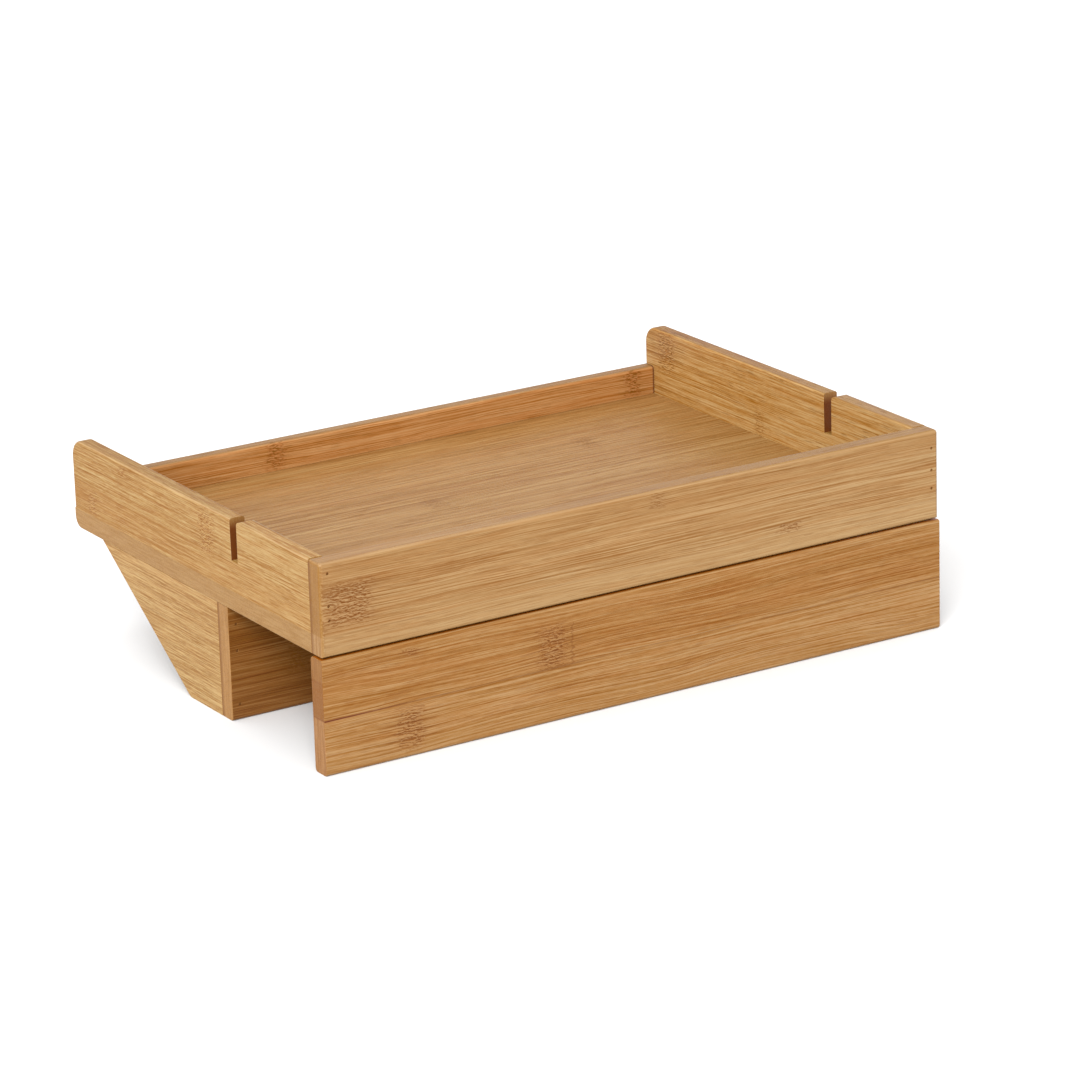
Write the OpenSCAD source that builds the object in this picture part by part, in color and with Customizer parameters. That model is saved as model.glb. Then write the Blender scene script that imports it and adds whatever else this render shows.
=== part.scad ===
// Bamboo bedside tray that clamps over the side rail of a bed.
// Millimetres. Zero is the middle of the footprint, on the surface the legs stand on.
// +X runs across the width, +Y from the front panel to the open back, +Z is up.

/* [Tray] */
// Width of the tray across its two side panels
tray_w = 380; // [330:1:460]
// Depth of the tray, front panel to rear ends
tray_d = 272.5; // [250:0.5:330]
// Thickness of the tray floor
floor_t = 10.5; // [9.5:0.5:14]
// Height of the side and front panels above the floor
wall_h = 39.3; // [32:0.1:60]
// Thickness of the side panels
side_t = 9; // [7:0.5:12]
// Thickness of the front panel
front_t = 11.5; // [9:0.5:15]
// Thickness of the low back board
back_t = 9; // [7:0.5:12]
// Height of the low back board above the floor
back_h = 16.5; // [13:0.5:30]
// Rounding of the long edges of the boards
edge_r = 2; // [0.5:0.25:3]
// Rounding of the top rear corner of the side panels
side_corner_r = 10; // [4:0.5:16]
// Rounding of the lower rear edge of the floor
floor_corner_r = 6; // [2:0.5:8]

/* [Side slots] */
// Width of the open slot in each side panel
side_slot_w = 7; // [5:0.5:12]
// Depth of the slot below the top edge
side_slot_depth = 22.5; // [12:0.5:26]
// Middle of the slot behind the front face
side_slot_from_front = 89.5; // [60:0.5:120]
// Rounding of the front lip of the slot
side_slot_lip_r = 2.5; // [1:0.5:5]

/* [Clamp boards] */
// Clear gap for the bed rail with the jaw fully open
rail_gap = 88.5; // [70:0.5:110]
// Clear gap for the bed rail with the jaw closed
rail_gap_min = 15; // [12:1:30]
// Drop of the fixed board and brackets below the floor
leg_h = 62.7; // [50:0.1:80]
// Thickness of the fixed clamp board
fixed_board_t = 11.5; // [10:0.5:15]
// Thickness of the sliding jaw board
jaw_t = 11.5; // [10:0.5:15]
// Running gap between the front panel and the jaw
jaw_gap = 1; // [0.5:0.1:2]
// How far each end of the jaw stands out past the tray
jaw_overhang = 0.9; // [0:0.1:2]

/* [Brackets] */
// Thickness of the brackets
bracket_t = 9; // [7:0.5:12]
// Length of the bracket along the floor
bracket_top_l = 129.5; // [100:0.5:150]
// Length of the bracket along its foot
bracket_foot_l = 35.5; // [20:0.5:50]
// Rounding of the bracket's rear foot corner
bracket_corner_r = 2; // [0.5:0.5:4]

/* [Slide arms] */
// Width of each slide arm
arm_w = 36; // [30:1:44]
// Thickness of each slide arm
arm_t = 12; // [10:0.5:15]
// Middle of each arm, in from the end of the tray
arm_from_end = 95; // [70:1:110]
// Length of the arm behind its slot
arm_tail_l = 16; // [10:1:30]
// Depth of the housing that holds the arm in the jaw
housing_d = 4; // [2:0.5:5]
// Diameter of the dowels between arm and jaw
dowel_d = 6; // [5:0.5:6.5]
// Length of each dowel
dowel_l = 26; // [20:1:32]
// Depth of each dowel in the jaw, past the housing
dowel_in_jaw = 4.4; // [3:0.1:4.5]
// Distance between the two dowels of an arm
dowel_pitch = 20; // [12:1:22]

/* [Clamp knobs] */
// Diameter of the threaded stud
stud_d = 6; // [5:0.5:8]
// Length of the stud inside the threaded insert
stud_grip_l = 6.8; // [5:0.1:7.5]
// Middle of the knob behind the fixed board
knob_from_board = 25; // [22:1:40]
// Outside diameter of the knob's grip
knob_d = 30; // [26:1:36]
// Height of the knob's grip
knob_h = 12; // [8:0.5:16]
// Thickness of the grip under the end of the stud
grip_floor_t = 3; // [2:0.5:4]
// Number of lobes on the grip
knob_lobes = 6; // [4:1:8]
// Diameter of the knob's hub
hub_d = 14; // [12:0.5:16]
// Height of the knob's hub
hub_h = 5; // [3:0.5:8]
// Diameter of the washer
washer_d = 16; // [14:0.5:20]
// Thickness of the washer
washer_t = 1.5; // [1:0.1:2]
// Outside diameter of the threaded insert
insert_d = 9; // [8.5:0.5:11]
// Length of the threaded insert
insert_l = 8; // [6:0.5:8]

/* [Nails] */
// Diameter of the nails
nail_d = 0.9; // [0.8:0.1:1.6]
// Diameter of the nail heads
nail_head_d = 1.4; // [1.2:0.1:2.4]
// Thickness of the nail heads
nail_head_t = 0.6; // [0.5:0.1:1.2]
// Length of the long nails
nail_l = 25; // [20:1:28]
// Length of the short nails that hold the back board
short_nail_l = 20; // [16:1:22]
// Depth of the nail heads below the surface
nail_sink = 0.3; // [0.2:0.1:0.6]

/* [Clearances] */
// Running clearance above and below a slide arm
arm_clear = 0.3; // [0.2:0.05:0.6]
// Running clearance on each side of a slide arm
arm_side_clear = 0.4; // [0.2:0.05:0.8]
// Clearance round the stud in the slot of an arm
slot_clear = 0.4; // [0.2:0.05:0.8]
// Clearance round a stud, dowel or nail in its hole
hole_fit = 0.05; // [0.02:0.01:0.1]
// Clearance round the stud in the washer
washer_fit = 0.2; // [0.1:0.05:0.4]
// Gap between the washer and the knob's hub
hub_gap = 0.1; // [0.05:0.05:0.2]

/* [Hidden] */
$fn = 48;

bamboo = [0.82, 0.64, 0.42];
bamboo_dark = [0.75, 0.53, 0.31];
steel = [0.62, 0.62, 0.63];
brass = [0.78, 0.62, 0.32];
black = [0.07, 0.07, 0.08];

// Far edge of a cutting tool past the face it cuts
over = 1;

// Main planes: y counts back from the front face, z up from the surface under the legs
front_y = -tray_d / 2;
back_y = tray_d / 2;
under_z = leg_h;
floor_z = under_z + floor_t;
top_z = floor_z + wall_h;
fixed_y = front_y + front_t + rail_gap;
bracket_y = fixed_y + fixed_board_t;
jaw_back_y = front_y + jaw_t;
jaw_h = leg_h - jaw_gap;
jaw_travel = fixed_y - jaw_back_y - rail_gap_min;
arm_x = tray_w / 2 - arm_from_end;

// Slide arms and knobs, from the floor down
arm_top_z = under_z - arm_clear;
arm_low_z = arm_top_z - arm_t;
arm_mid_z = arm_top_z - arm_t / 2;
arm_front_y = jaw_back_y - housing_d;
knob_y = bracket_y + knob_from_board;
slot_w = stud_d + 2 * slot_clear;
arm_end_y = knob_y + slot_w / 2 + arm_tail_l;
washer_top_z = arm_low_z - arm_clear;
hub_top_z = washer_top_z - washer_t - hub_gap;
grip_top_z = hub_top_z - hub_h;
lobe_r = knob_d / 7;
grip_hole_depth = hub_h + knob_h - grip_floor_t;

// Nail positions
front_nails_left = [top_z - 5.8, floor_z + 16.3, floor_z + 8.8];
front_nails_right = [top_z - 9.7, floor_z + 17.4, floor_z + 7.2];
board_nails_z = [under_z - 10, under_z - 24.6, 8.8];
side_nails_y = [front_y + front_t + 24, front_y + front_t + 60, back_y - 14];
bracket_nails_y = [bracket_y + 25, bracket_y + 60, bracket_y + bracket_top_l - 34];
board_top_nails_x = [-tray_w / 2 + 30, -40, 0, 40, tray_w / 2 - 30];
back_nails_x = [-tray_w / 2 + 40, -60, 60, tray_w / 2 - 40];

// Rectangle from the low corner, with its own radius at each corner:
// low left, low right, high right, high left. Zero leaves a square corner.
module rounded_rect(size, radii) {
    difference() {
        square(size);
        for (i = [0:3]) if (radii[i] > 0) {
            right = i == 1 || i == 2 ? 1 : 0;
            high = i > 1 ? 1 : 0;
            translate([right * size[0], high * size[1]]) mirror([right, 0]) mirror([0, high])
                difference() {
                    translate([-over, -over]) square(radii[i] + over);
                    translate([radii[i], radii[i]]) circle(radii[i]);
                }
        }
    }
}

// Board that runs along X: its section is drawn in Y and Z and its middle is at x
module across(x, length) {
    translate([x - length / 2, 0, 0]) rotate([90, 0, 90]) linear_extrude(length) children();
}

// Nail along +Z, with its head at zero
module nail(length) {
    cylinder(h = nail_head_t, d = nail_head_d);
    cylinder(h = length, d = nail_d);
}

// Hole for a nail, with the open recess above its sunk head
module nail_hole(length) {
    translate([0, 0, -nail_sink - over])
        cylinder(h = nail_sink + over + nail_head_t + hole_fit, d = nail_head_d + 2 * hole_fit);
    cylinder(h = length + hole_fit, d = nail_d + 2 * hole_fit);
}

// Places of the six nails through the front panel into the side panels
module at_front_nails() {
    for (side = [-1, 1]) for (z = side < 0 ? front_nails_left : front_nails_right)
        translate([side * (tray_w - side_t) / 2, front_y + nail_sink, z]) rotate([-90, 0, 0]) children();
}

// Places of the nails up through the floor into the side panels
module at_side_nails() {
    for (side = [-1, 1]) for (y = side_nails_y)
        translate([side * (tray_w - side_t) / 2, y, under_z + nail_sink]) children();
}

// Places of the nails up through the floor into the back board
module at_back_nails() {
    for (x = back_nails_x) translate([x, back_y - floor_corner_r, under_z + nail_sink]) children();
}

// Places of the six nails through the fixed board into the brackets
module at_board_nails() {
    for (side = [-1, 1]) for (z = board_nails_z)
        translate([side * (tray_w - bracket_t) / 2, fixed_y + nail_sink, z]) rotate([-90, 0, 0]) children();
}

// Places of the nails down through the floor into the fixed board
module at_board_top_nails() {
    for (x = board_top_nails_x)
        translate([x, fixed_y + fixed_board_t / 2, floor_z - nail_sink]) rotate([180, 0, 0]) children();
}

// Places of the nails down through the floor into the brackets, under the side panels
module at_bracket_nails() {
    for (side = [-1, 1]) for (y = bracket_nails_y)
        translate([side * (tray_w - bracket_t) / 2, y, floor_z - nail_sink]) rotate([180, 0, 0]) children();
}

// Dowels between the arms and the jaw, or their holes
module dowels(extra = 0) {
    for (side = [-1, 1]) for (pair = [-1, 1])
        translate([side * arm_x + pair * dowel_pitch / 2, arm_front_y - dowel_in_jaw - extra, arm_mid_z])
            rotate([-90, 0, 0]) cylinder(h = dowel_l + 2 * extra, d = dowel_d + 2 * extra);
}

module tray_floor() {
    color(bamboo) difference() {
        translate([0, front_y + front_t, under_z])
            across(0, tray_w)
                rounded_rect([tray_d - front_t, floor_t], [0, floor_corner_r, 0, 0]);
        at_side_nails() nail_hole(nail_l);
        at_back_nails() nail_hole(short_nail_l);
        at_board_top_nails() nail_hole(nail_l);
        at_bracket_nails() nail_hole(nail_l);
        for (side = [-1, 1]) translate([side * arm_x, knob_y, under_z - over])
            cylinder(h = insert_l + over, d = insert_d + 2 * hole_fit);
    }
}

// Section of a side panel from its front end, with its open slot
module side_section() {
    length = tray_d - front_t;
    slot_y = side_slot_from_front - front_t - side_slot_w / 2;
    difference() {
        rounded_rect([length, wall_h], [0, 0, side_corner_r, 0]);
        translate([slot_y, wall_h - side_slot_depth]) square([side_slot_w, side_slot_depth + over]);
        translate([slot_y - side_slot_lip_r, wall_h - side_slot_lip_r]) difference() {
            square(side_slot_lip_r + over);
            circle(side_slot_lip_r);
        }
    }
}

module side_panel(side) {
    color(bamboo) difference() {
        translate([0, front_y + front_t, floor_z])
            across(side * (tray_w - side_t) / 2, side_t) side_section();
        at_front_nails() nail_hole(nail_l);
        at_side_nails() nail_hole(nail_l);
    }
}

module front_panel() {
    color(bamboo) difference() {
        translate([0, front_y, under_z]) across(0, tray_w)
            rounded_rect([front_t, floor_t + wall_h], [edge_r, 0, edge_r, edge_r]);
        at_front_nails() nail_hole(nail_l);
    }
}

module back_board() {
    color(bamboo_dark) difference() {
        translate([0, back_y - back_t, floor_z]) across(0, tray_w - 2 * side_t)
            rounded_rect([back_t, back_h], [0, 0, edge_r, edge_r]);
        at_back_nails() nail_hole(short_nail_l);
    }
}

module fixed_clamp_board() {
    notch_w = arm_w + 2 * arm_side_clear;
    notch_d = arm_t + 2 * arm_clear;
    color(bamboo_dark) difference() {
        translate([0, fixed_y, 0]) across(0, tray_w)
            rounded_rect([fixed_board_t, leg_h], [edge_r, 0, 0, 0]);
        for (side = [-1, 1]) translate([side * arm_x - notch_w / 2, fixed_y - over, under_z - notch_d])
            cube([notch_w, fixed_board_t + 2 * over, notch_d + over]);
        at_board_nails() nail_hole(nail_l);
        at_board_top_nails() nail_hole(nail_l);
    }
}

// Outline of a bracket from its front foot corner, with a rounded rear foot corner
module bracket_section() {
    lean = atan2(leg_h, bracket_top_l - bracket_foot_l);
    tangent = bracket_corner_r * tan(lean / 2);
    centre = [bracket_foot_l - tangent, bracket_corner_r];
    polygon(concat([[0, 0]],
        [for (i = [0:8]) centre + bracket_corner_r * [sin(lean * i / 8), -cos(lean * i / 8)]],
        [[bracket_top_l, leg_h], [0, leg_h]]));
}

module bracket(side) {
    color(bamboo) difference() {
        translate([0, bracket_y, 0]) across(side * (tray_w - bracket_t) / 2, bracket_t) bracket_section();
        at_board_nails() nail_hole(nail_l);
        at_bracket_nails() nail_hole(nail_l);
    }
}

// Brass sleeve in the underside of the floor that takes the stud
module threaded_insert(side) {
    color(brass) translate([side * arm_x, knob_y, under_z]) difference() {
        cylinder(h = insert_l, d = insert_d);
        translate([0, 0, -over]) cylinder(h = insert_l + 2 * over, d = stud_d + 2 * hole_fit);
    }
}

module jaw_board() {
    color(bamboo_dark) difference() {
        translate([0, front_y, 0]) across(0, tray_w + 2 * jaw_overhang)
            rounded_rect([jaw_t, jaw_h], [edge_r, edge_r, edge_r, edge_r]);
        for (side = [-1, 1]) translate([side * arm_x - arm_w / 2, arm_front_y, arm_low_z])
            cube([arm_w, housing_d + over, arm_t + over]);
        dowels(hole_fit);
    }
}

// Batten under the floor that carries the jaw, with its long slot for the stud
module slide_arm(side) {
    color(bamboo) difference() {
        translate([side * arm_x - arm_w / 2, arm_front_y, arm_low_z])
            cube([arm_w, arm_end_y - arm_front_y, arm_t]);
        for (y = [knob_y - jaw_travel, knob_y]) translate([side * arm_x, y, arm_low_z - over])
            cylinder(h = arm_t + 2 * over, d = slot_w);
        translate([side * arm_x - slot_w / 2, knob_y - jaw_travel, arm_low_z - over])
            cube([slot_w, jaw_travel, arm_t + 2 * over]);
        dowels(hole_fit);
    }
}

module washer(side) {
    color(steel) translate([side * arm_x, knob_y, washer_top_z - washer_t]) difference() {
        cylinder(h = washer_t, d = washer_d);
        translate([0, 0, -over]) cylinder(h = washer_t + 2 * over, d = stud_d + 2 * washer_fit);
    }
}

module knob_stud(side) {
    stud_low_z = hub_top_z - grip_hole_depth;
    color(steel) translate([side * arm_x, knob_y, stud_low_z])
        cylinder(h = under_z + stud_grip_l - stud_low_z, d = stud_d);
}

// Star grip with a round hub above it, moulded round the stud
module knob_grip(side) {
    color(black) translate([side * arm_x, knob_y, 0]) difference() {
        union() {
            translate([0, 0, grip_top_z]) cylinder(h = hub_h, d = hub_d);
            translate([0, 0, grip_top_z - knob_h]) cylinder(h = knob_h, r = knob_d / 2 - lobe_r);
            for (i = [0:knob_lobes - 1]) rotate([0, 0, i * 360 / knob_lobes])
                translate([knob_d / 2 - lobe_r, 0, grip_top_z - knob_h]) cylinder(h = knob_h, r = lobe_r);
        }
        translate([0, 0, hub_top_z - grip_hole_depth])
            cylinder(h = grip_hole_depth + over, d = stud_d + 2 * hole_fit);
    }
}

tray_floor();
side_panel(-1);  // left_side_panel
side_panel(1);  // right_side_panel
front_panel();
back_board();
fixed_clamp_board();
bracket(-1);  // left_bracket
bracket(1);  // right_bracket
color(steel) at_front_nails() nail(nail_l);  // front_panel_nails
color(steel) at_side_nails() nail(nail_l);  // side_panel_nails
color(steel) at_back_nails() nail(short_nail_l);  // back_board_nails
color(steel) at_board_nails() nail(nail_l);  // clamp_board_nails
color(steel) at_board_top_nails() nail(nail_l);  // clamp_board_top_nails
color(steel) at_bracket_nails() nail(nail_l);  // bracket_nails
for (side = [-1, 1]) threaded_insert(side);  // threaded_inserts
jaw_board();
slide_arm(-1);  // left_slide_arm
slide_arm(1);  // right_slide_arm
color(bamboo) dowels();  // arm_dowels
washer(-1);  // left_washer
washer(1);  // right_washer
knob_stud(-1);  // left_knob_stud
knob_stud(1);  // right_knob_stud
knob_grip(-1);  // left_knob_grip
knob_grip(1);  // right_knob_grip
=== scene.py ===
import math

import bmesh
import bpy
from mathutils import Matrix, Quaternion, Vector


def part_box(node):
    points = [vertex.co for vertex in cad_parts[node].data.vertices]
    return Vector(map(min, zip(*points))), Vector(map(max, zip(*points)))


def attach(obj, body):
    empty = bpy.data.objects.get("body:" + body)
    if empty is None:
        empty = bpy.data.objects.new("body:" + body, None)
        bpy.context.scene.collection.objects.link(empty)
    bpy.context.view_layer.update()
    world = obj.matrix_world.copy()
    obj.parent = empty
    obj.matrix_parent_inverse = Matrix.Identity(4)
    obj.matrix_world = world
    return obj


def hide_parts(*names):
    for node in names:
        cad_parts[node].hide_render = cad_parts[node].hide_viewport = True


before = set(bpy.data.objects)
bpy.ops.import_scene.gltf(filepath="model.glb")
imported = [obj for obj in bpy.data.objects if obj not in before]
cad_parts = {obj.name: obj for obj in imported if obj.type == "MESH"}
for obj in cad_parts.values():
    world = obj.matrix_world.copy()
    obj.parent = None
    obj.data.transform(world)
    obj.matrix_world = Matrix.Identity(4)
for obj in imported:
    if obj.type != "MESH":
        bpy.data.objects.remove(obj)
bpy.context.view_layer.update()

# Everything is in metres, with +X across the width, +Y to the open back and +Z up.
mm = 0.001
closeBy = 0.02 * mm          # how near counts as being at a place
inward, upward, downward = (0, 1, 0), (0, 0, 1), (0, 0, -1)


# Shaping, as at the bench

def deselectAll():
    if bpy.context.mode != "OBJECT":
        bpy.ops.object.mode_set(mode="OBJECT")
    bpy.ops.object.select_all(action="DESELECT")


def takeUp(piece):
    deselectAll()
    piece.select_set(True)
    bpy.context.view_layer.objects.active = piece


def settlePlace(piece):
    # the place goes into the mesh, so the object itself stays at the origin
    takeUp(piece)
    bpy.ops.object.transform_apply(location=True, rotation=True, scale=True)


def moveTo(piece, x, y):
    piece.location = (x, y, 0)
    settlePlace(piece)


def addBlock(name, low, high):
    deselectAll()
    middle = [(a + b) / 2 for a, b in zip(low, high)]
    size = [b - a for a, b in zip(low, high)]
    bpy.ops.mesh.primitive_cube_add(size=1, location=middle, scale=size)
    piece = bpy.context.active_object
    piece.name = piece.data.name = name
    settlePlace(piece)
    return piece


def middleOf(node, axis):
    low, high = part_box(node)
    return (low[axis] + high[axis]) / 2


def openAt(piece, kind, test):
    # edit mode with only the edges or faces selected that pass the test
    takeUp(piece)
    bpy.ops.object.mode_set(mode="EDIT")
    bpy.ops.mesh.select_mode(type=kind)
    bpy.ops.mesh.select_all(action="DESELECT")
    shape = bmesh.from_edit_mesh(piece.data)
    for part in (shape.edges if kind == "EDGE" else shape.faces):
        if test(part):
            part.select_set(True)
    shape.select_flush_mode()
    bmesh.update_edit_mesh(piece.data)


def allOver(part):
    return True


def liesAt(**place):
    # true for an edge whose two ends are both at that x, y or z
    wanted = [("xyz".index(axis), value) for axis, value in place.items()]
    return lambda edge: all(abs(end.co[i] - value) < closeBy for end in edge.verts for i, value in wanted)


def anyOf(*tests):
    return lambda part: any(test(part) for test in tests)


def roundEdges(piece, radius, test, segments=4):
    openAt(piece, "EDGE", test)
    bpy.ops.mesh.bevel(offset=radius, offset_type="OFFSET", segments=segments, profile=0.5, affect="EDGES")
    bpy.ops.object.mode_set(mode="OBJECT")


def useModifier(piece, kind, **settings):
    takeUp(piece)
    modifier = piece.modifiers.new(kind.lower(), kind)
    for name, value in settings.items():
        setattr(modifier, name, value)
    bpy.ops.object.modifier_apply(modifier=modifier.name)


def joinOrCut(piece, tool, operation):
    useModifier(piece, "BOOLEAN", operation=operation, solver="EXACT", object=tool)
    bpy.data.objects.remove(tool, do_unlink=True)


def cutWith(piece, *cutters):
    for cutter in cutters:
        joinOrCut(piece, cutter, "DIFFERENCE")


def softenEdges(piece, width=0.25 * mm, segments=2, angle=50):
    useModifier(piece, "BEVEL", width=width, segments=segments, limit_method="ANGLE",
                angle_limit=math.radians(angle), use_clamp_overlap=True)


def mergeNear(piece, distance):
    # closes the slivers that roundings leave where they meet
    openAt(piece, "FACE", allOver)
    bpy.ops.mesh.remove_doubles(threshold=distance)
    bpy.ops.mesh.dissolve_degenerate(threshold=distance)
    bpy.ops.mesh.normals_make_consistent(inside=False)
    bpy.ops.object.mode_set(mode="OBJECT")


def turnBar(name, steps, sides, outline=None):
    # a bar on the Z axis, drawn up ring by ring: steps are (height, radius), and outline
    # gives how far out the bar stands at each angle, for one that isn't round
    deselectAll()
    height, radius = steps[0]
    bpy.ops.mesh.primitive_circle_add(vertices=sides, radius=radius, fill_type="NGON",
                                      location=(0, 0, height))
    bar = bpy.context.active_object
    bar.name = bar.data.name = name
    settlePlace(bar)
    if outline:
        for point in bar.data.vertices:
            pressIn(point, outline(math.atan2(point.co.y, point.co.x)))
    bpy.ops.object.mode_set(mode="EDIT")
    bpy.ops.mesh.select_mode(type="FACE")
    bpy.ops.mesh.select_all(action="SELECT")
    for nextHeight, nextRadius in steps[1:]:
        bpy.ops.mesh.extrude_region_move(TRANSFORM_OT_translate={"value": (0, 0, nextHeight - height)})
        grow = nextRadius / radius
        bpy.ops.transform.resize(value=(grow, grow, 1), center_override=(0, 0, nextHeight))
        height, radius = nextHeight, nextRadius
    bpy.ops.mesh.select_all(action="SELECT")
    bpy.ops.mesh.normals_make_consistent(inside=False)
    bpy.ops.object.mode_set(mode="OBJECT")
    return bar


def pressIn(point, share):
    # a point of a bar goes to this share of its distance from the Z axis
    point.co.x *= share
    point.co.y *= share


def boreOut(piece, radius, low, high, x, y, sides=32):
    bore = turnBar("boreCutter", [(low, radius), (high, radius)], sides)
    moveTo(bore, x, y)
    cutWith(piece, bore)


def setOut(pattern, places, direction):
    # a copy of the pattern at each place, its Z axis turned to the direction, all joined into one
    turn = Vector(upward).rotation_difference(Vector(direction)).to_euler()
    copies = []
    for place in places:
        takeUp(pattern)
        bpy.ops.object.duplicate()
        copy = bpy.context.active_object
        copy.rotation_euler = turn
        copy.location = place
        settlePlace(copy)
        copies.append(copy)
    name = pattern.name
    bpy.data.objects.remove(pattern, do_unlink=True)
    takeUp(copies[0])
    for copy in copies:
        copy.select_set(True)
    bpy.ops.object.join()
    copies[0].name = copies[0].data.name = name
    return copies[0]


def finishPiece(piece, material, body, slot, *nodes, smooth=35):
    takeUp(piece)
    bpy.ops.object.shade_smooth_by_angle(angle=math.radians(smooth))
    useModifier(piece, "WEIGHTED_NORMAL", keep_sharp=True)
    piece.data.materials.clear()
    piece.data.materials.append(material)
    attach(piece, body)
    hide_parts(*nodes)


# Nodes

def feed(socket, value):
    if isinstance(value, bpy.types.NodeSocket):
        socket.id_data.links.new(value, socket)
    else:
        socket.default_value = value


def fedNode(kind, values, inputs=None, **settings):
    # a node in the tree that the values come from, with them on its first inputs or on the named ones
    tree = next(value.id_data for value in values if isinstance(value, bpy.types.NodeSocket))
    node = tree.nodes.new("ShaderNode" + kind)
    for name, value in settings.items():
        setattr(node, name, value)
    sockets = [node.inputs[i] for i in inputs] if inputs else node.inputs
    for socket, value in zip(sockets, values):
        feed(socket, value)
    return node


def calc(operation, *values, clamp=False):
    return fedNode("Math", values, operation=operation, use_clamp=clamp).outputs[0]


def plus(first, second, clamp=False):
    return calc("ADD", first, second, clamp=clamp)


def minus(first, second):
    return calc("SUBTRACT", first, second)


def times(first, second):
    return calc("MULTIPLY", first, second)


def larger(first, second):
    return calc("MAXIMUM", first, second)


def offFrom(value, centre):
    # how far the value is from the centre, on either side
    return calc("ABSOLUTE", minus(value, centre))


def vectorCalc(operation, *values):
    return fedNode("VectorMath", values, operation=operation).outputs[0]


def joinAxes(*parts):
    return fedNode("CombineXYZ", parts).outputs[0]


def takeApart(value, kind="XYZ"):
    return list(fedNode("Separate" + kind, [value]).outputs)


def drawnNoise(place, lengths, detail=2.0, roughness=0.5, output=0):
    # noise drawn out to these lengths, in millimetres, along, across and through the board
    node = fedNode("TexNoise", [vectorCalc("DIVIDE", place, lengths)], noise_dimensions="3D")
    node.inputs["Scale"].default_value = 1.0
    node.inputs["Detail"].default_value = detail
    node.inputs["Roughness"].default_value = roughness
    return node.outputs[output]


def swing(place, lengths, detail=0.0, roughness=0.5):
    # the same noise, around zero
    return minus(drawnNoise(place, lengths, detail, roughness), 0.5)


def fade(value, start, end, low=0.0, high=1.0):
    numbers = (value, start, end, low, high)
    return fedNode("MapRange", numbers, interpolation_type="SMOOTHSTEP", clamp=True).outputs[0]


def blendColour(factor, first, second, way="MIX"):
    parts = (factor, first, second)
    return fedNode("Mix", parts, (0, 6, 7), data_type="RGBA", blend_type=way, clamp_factor=True).outputs[2]


def colourRamp(factor, stops, way="LINEAR"):
    node = fedNode("ValToRGB", [factor])
    ramp = node.color_ramp
    ramp.interpolation = way
    while len(ramp.elements) < len(stops):
        ramp.elements.new(0.5)
    for element, (place, colour) in zip(ramp.elements, stops):
        element.position = place
        element.color = colour
    return node.outputs[0]


def freshMaterial(name):
    # the material, the inputs of its shader, and the coordinates to lay it out by
    material = bpy.data.materials.new(name)
    material.use_nodes = True
    nodes = material.node_tree.nodes
    nodes.clear()
    shader = nodes.new("ShaderNodeBsdfPrincipled")
    feed(nodes.new("ShaderNodeOutputMaterial").inputs[0], shader.outputs[0])
    return material, shader.inputs, nodes.new("ShaderNodeTexCoord").outputs


def addBump(shader, height, strength, distance):
    bump = fedNode("Bump", [height], ["Height"])
    bump.inputs["Strength"].default_value = strength
    bump.inputs["Distance"].default_value = distance
    feed(shader["Normal"], bump.outputs[0])


# Bamboo
# Each board is glued up from strips. u runs along the grain, v across the strips and w
# through the plies, all in millimetres. Tones are written as they look in the render. A
# strip is (where it starts, tone, redness, how strong its grain is), and a knuckle is
# (u, v, w, half its length, half its height, how strong it shows).

bambooBase = {
    "pale": (216, 178, 130),
    "middle": (195, 151, 103),
    "deep": (168, 118, 70),
    "fibre": (152, 103, 52),
    "red": (1.0, 0.90, 0.80),
    "stripWidth": 25.0,
    "jointAt": 0.0,          # v of a joint between two strips
    "plyThickness": 4.2,
    "plyShift": 0.43,        # how far the joints of the other plies are set off, in strips
    "spread": 0.35,          # how far the tones of strips differ where none are given
    "strips": None,
    "streaks": 0.7,          # long soft streaks
    "lines": 1.2,            # thin lines that run on for a hand's width
    "hairs": 1.2,            # fine short lines
    "hairLength": 30.0,
    "flecks": 0.25,          # the shortest marks
    "tilt": 0.0,             # how fast the tone rises along the grain, per millimetre
    "dashes": 0.55,          # short dark fibre dashes
    "dashStart": 0.58,
    "wave": 0.8,
    "waveLength": 80.0,
    "mottle": 0.6,           # patches that are a little more orange
    "sheen": 0.15,
    "glueLine": 0.18,
    "glueTone": (120, 74, 38),
    "seams": [],             # (v, from, to, strength) of strip joints that show dark and fade along the grain
    "seamTone": (124, 66, 30),
    "knuckles": [],
    "knuckleTint": (0.90, 0.80, 0.68),
    "creases": [],           # (u, v, w, half its height) of short marks across the grain, beside knuckles
    "edgeHighlight": 0.5,           # how strongly the painted highlight on rounded edges shows
    # tone of the painted edge highlight, the pale tone if none is given
    "edgeHighlightTone": None,
    "corner": None,          # tone that the painted edge highlight takes on the upright rounded corners
    "topShade": (1.0, 1.0, 1.0),    # painted shade: tint that darkens faces turned up
    "topShadeFrom": None,       # (from, to) along the grain over which that painted shade sets in
    "sawnEnd": (204, 160, 108),
    "sawnFibre": (180, 130, 74),
    "sawnFrom": (0.75, 0.95),        # how squarely a face cuts the grain before it looks sawn
    "sawnBands": [],         # (v, tone) for sawn ends, each below that v
    "slotShade": None,           # (from, to) along the grain of a cut whose wall gets painted shade
    "slotShadeHeights": (113.0, 106.0),  # v over which that painted shade comes to its full strength
    "slotShadeTone": (130, 78, 35),
    "endSeam": None,         # w of a joint that shows as a brown line on the sawn ends
    "endSeamTone": (150, 98, 56),
    "cornerShade": None,         # u of the corner at both ends of the board that gets painted shade
    "cornerShadeTone": (96, 52, 22),
    "gapShade": None,        # (from, to, tone) across the strips of painted shade, for an edge that lies in a narrow gap
    "seed": 1.0,
}
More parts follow.
